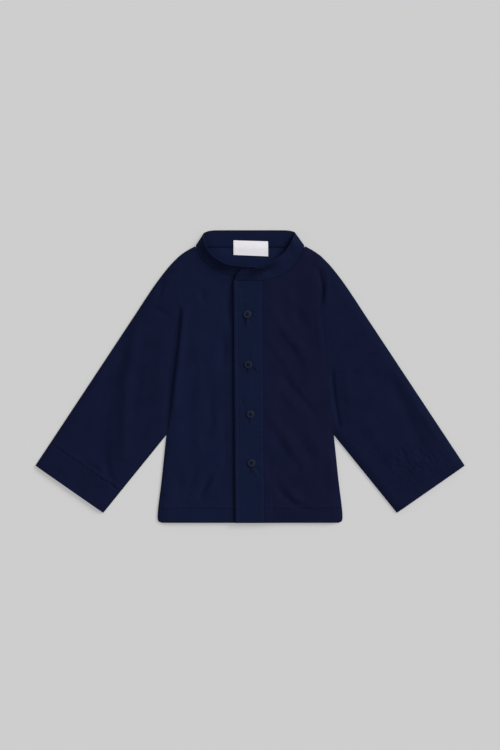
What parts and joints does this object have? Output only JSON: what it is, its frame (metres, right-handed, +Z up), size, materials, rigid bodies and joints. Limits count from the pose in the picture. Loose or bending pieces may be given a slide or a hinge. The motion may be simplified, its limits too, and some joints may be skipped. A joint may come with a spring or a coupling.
{
  "type": "collarless shirt",
  "caption": "Small child's navy cotton shirt with a stand collar, front placket and long sleeves, buttoned and laid flat.",
  "frame": {"origin": "on the surface the shirt lies on, under the middle of its outline", "axes": "+X towards the wearer's left sleeve, +Y towards the collar, +Z up, away from the surface"},
  "size_m": [0.5578, 0.38, 0.019],
  "materials": {
    "shirting": "matt navy cotton poplin",
    "label_tape": "smooth woven off-white tape",
    "button_plastic": "satin navy four-hole button"
  },
  "bodies": {
    "root": {"back": "shirting", "front_right": "shirting", "front_left": "shirting", "placket": "shirting", "collar": "shirting", "sleeve_left": "shirting", "sleeve_right": "shirting", "label": "label_tape", "button_1": "button_plastic", "button_2": "button_plastic", "button_3": "button_plastic", "button_4": "button_plastic"}
  },
  "joints": []
}
